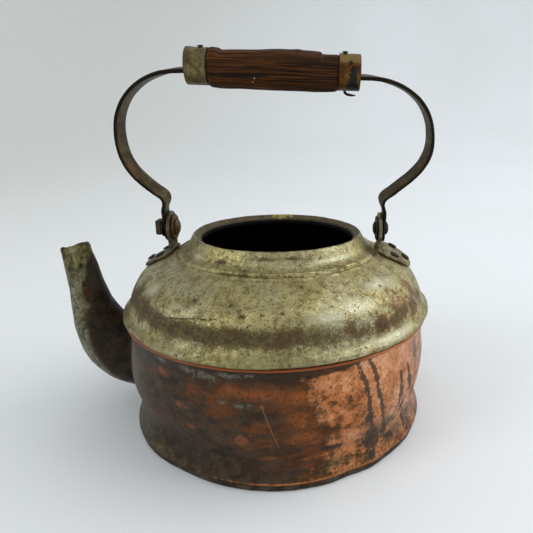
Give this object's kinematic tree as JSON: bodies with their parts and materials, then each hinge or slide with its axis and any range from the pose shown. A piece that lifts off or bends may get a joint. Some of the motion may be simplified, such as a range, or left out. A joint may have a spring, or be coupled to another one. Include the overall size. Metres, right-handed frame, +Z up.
{
  "type": "kettle",
  "caption": "Round copper kettle with a plated shoulder, open mouth, curved spout and a bail handle with a wooden grip that swings on riveted ears.",
  "frame": {"origin": "centre of the flat base, on the surface the kettle stands on", "axes": "+Z up through the mouth; the spout points along -X, and the bail swings about an axis parallel to X"},
  "size_m": [0.2426, 0.2, 0.2351],
  "materials": {
    "shoulder_plate": "worn, pitted tin plate with brown tarnish",
    "body_copper": "tarnished copper with dark stains",
    "base_copper": "dark tarnished copper",
    "spout_metal": "tinned copper, grey and dark brown",
    "ear_iron": "tarnished iron",
    "rivet_iron": "rusty iron",
    "pivot_iron": "rusty iron",
    "bail_strap": "brown tarnished iron strap",
    "grip_wood": "dark, grooved old wood",
    "ferrule_brass": "dull grey brass",
    "ferrule_brass_stained": "orange-brown brass with black stains",
    "nail_iron": "dark iron"
  },
  "bodies": {
    "kettle": {"shoulder_shell": "shoulder_plate", "body_shell": "body_copper", "base_plate": "base_copper", "spout": "spout_metal", "ear_spout_side": "ear_iron", "ear_back": "ear_iron", "rivet_spout_side_front": "rivet_iron", "rivet_spout_side_rear": "rivet_iron", "rivet_spout_side_outer": "rivet_iron", "rivet_back_front": "rivet_iron", "rivet_back_rear": "rivet_iron", "rivet_back_outer": "rivet_iron", "pivot_bolt": "pivot_iron", "pivot_washer_inner": "pivot_iron", "pivot_washer_outer": "pivot_iron", "pivot_nut": "pivot_iron", "pivot_rivet": "pivot_iron", "pivot_washer_back": "pivot_iron"},
    "bail": {"bail_arm_spout_side": "bail_strap", "bail_arm_back": "bail_strap", "grip": "grip_wood", "ferrule_spout_side": "ferrule_brass", "ferrule_back": "ferrule_brass_stained", "nail_spout_side": "nail_iron", "nail_back": "nail_iron", "tack": "nail_iron"}
  },
  "joints": [
    {"name": "bail_hinge", "type": "hinge", "parent": "kettle", "child": "bail", "pos_m": [0, 0, 0.127], "axis": [1, 0, 0], "range_deg": [-111, 89]}
  ]
}
